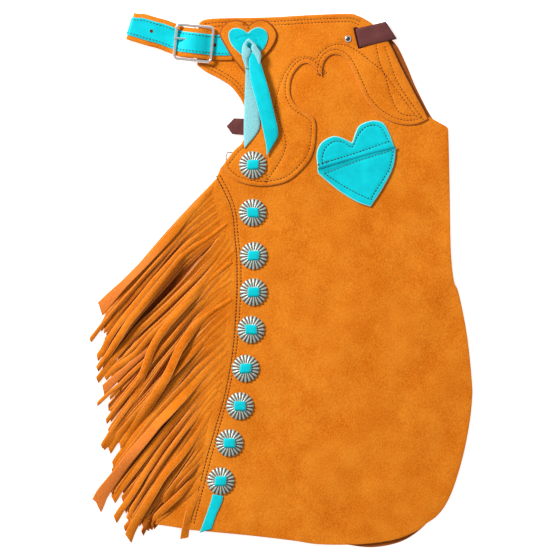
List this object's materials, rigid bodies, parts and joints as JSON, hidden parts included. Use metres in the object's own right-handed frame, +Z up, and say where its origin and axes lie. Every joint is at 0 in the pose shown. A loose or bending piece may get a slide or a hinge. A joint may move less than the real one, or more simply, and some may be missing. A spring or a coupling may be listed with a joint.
{
  "type": "folded pair of fringed western leather chaps",
  "caption": "Suede chaps lying flat, folded so one leg lies on the other, with a fringed side, metal side ornaments, a buckled waist belt, a scalloped yoke and a heart pocket.",
  "frame": {"origin": "centre of the outline, on the surface that the folded chaps lie on", "axes": "+Z up out of the surface, +Y from the hem to the waist, +X from the fringe to the centre front"},
  "size_m": [0.491, 0.6874, 0.017],
  "materials": {
    "suede": "matte napped suede, orange tan, mottled",
    "trim_leather": "smooth turquoise leather, satin",
    "flesh_side": "pale fibrous back of turquoise leather, matte",
    "strap_leather": "smooth dark brown strap leather, satin",
    "nickel": "polished nickel plate",
    "antique_metal": "antiqued cast metal with pale green patina"
  },
  "bodies": {
    "root": {"under_leg": "suede", "top_leg": "suede", "yoke": "suede", "heart_patch": "suede", "belt_strap": "suede", "buckle_tab": "suede", "top_fringe": "suede", "under_fringe": "suede", "pocket_back": "trim_leather", "pocket_front": "trim_leather", "heart_trim": "trim_leather", "belt_inlay": "trim_leather", "lace_right_tail": "trim_leather", "lace_end": "trim_leather", "lace_left_tail": "flesh_side", "lace_knot": "flesh_side", "front_tie": "strap_leather", "leg_strap": "strap_leather", "leg_buckle_tab": "strap_leather", "buckle_frame": "nickel", "buckle_bar": "nickel", "buckle_tongue": "nickel", "leg_buckle": "nickel", "rivet": "nickel", "concho_1": "antique_metal", "concho_lace_1": "trim_leather", "concho_2": "antique_metal", "concho_lace_2": "trim_leather", "concho_3": "antique_metal", "concho_lace_3": "trim_leather", "concho_4": "antique_metal", "concho_lace_4": "trim_leather", "concho_5": "antique_metal", "concho_lace_5": "trim_leather", "concho_6": "antique_metal", "concho_lace_6": "trim_leather", "concho_7": "antique_metal", "concho_lace_7": "trim_leather", "concho_8": "antique_metal", "concho_lace_8": "trim_leather", "concho_9": "antique_metal", "concho_lace_9": "trim_leather"}
  },
  "joints": []
}
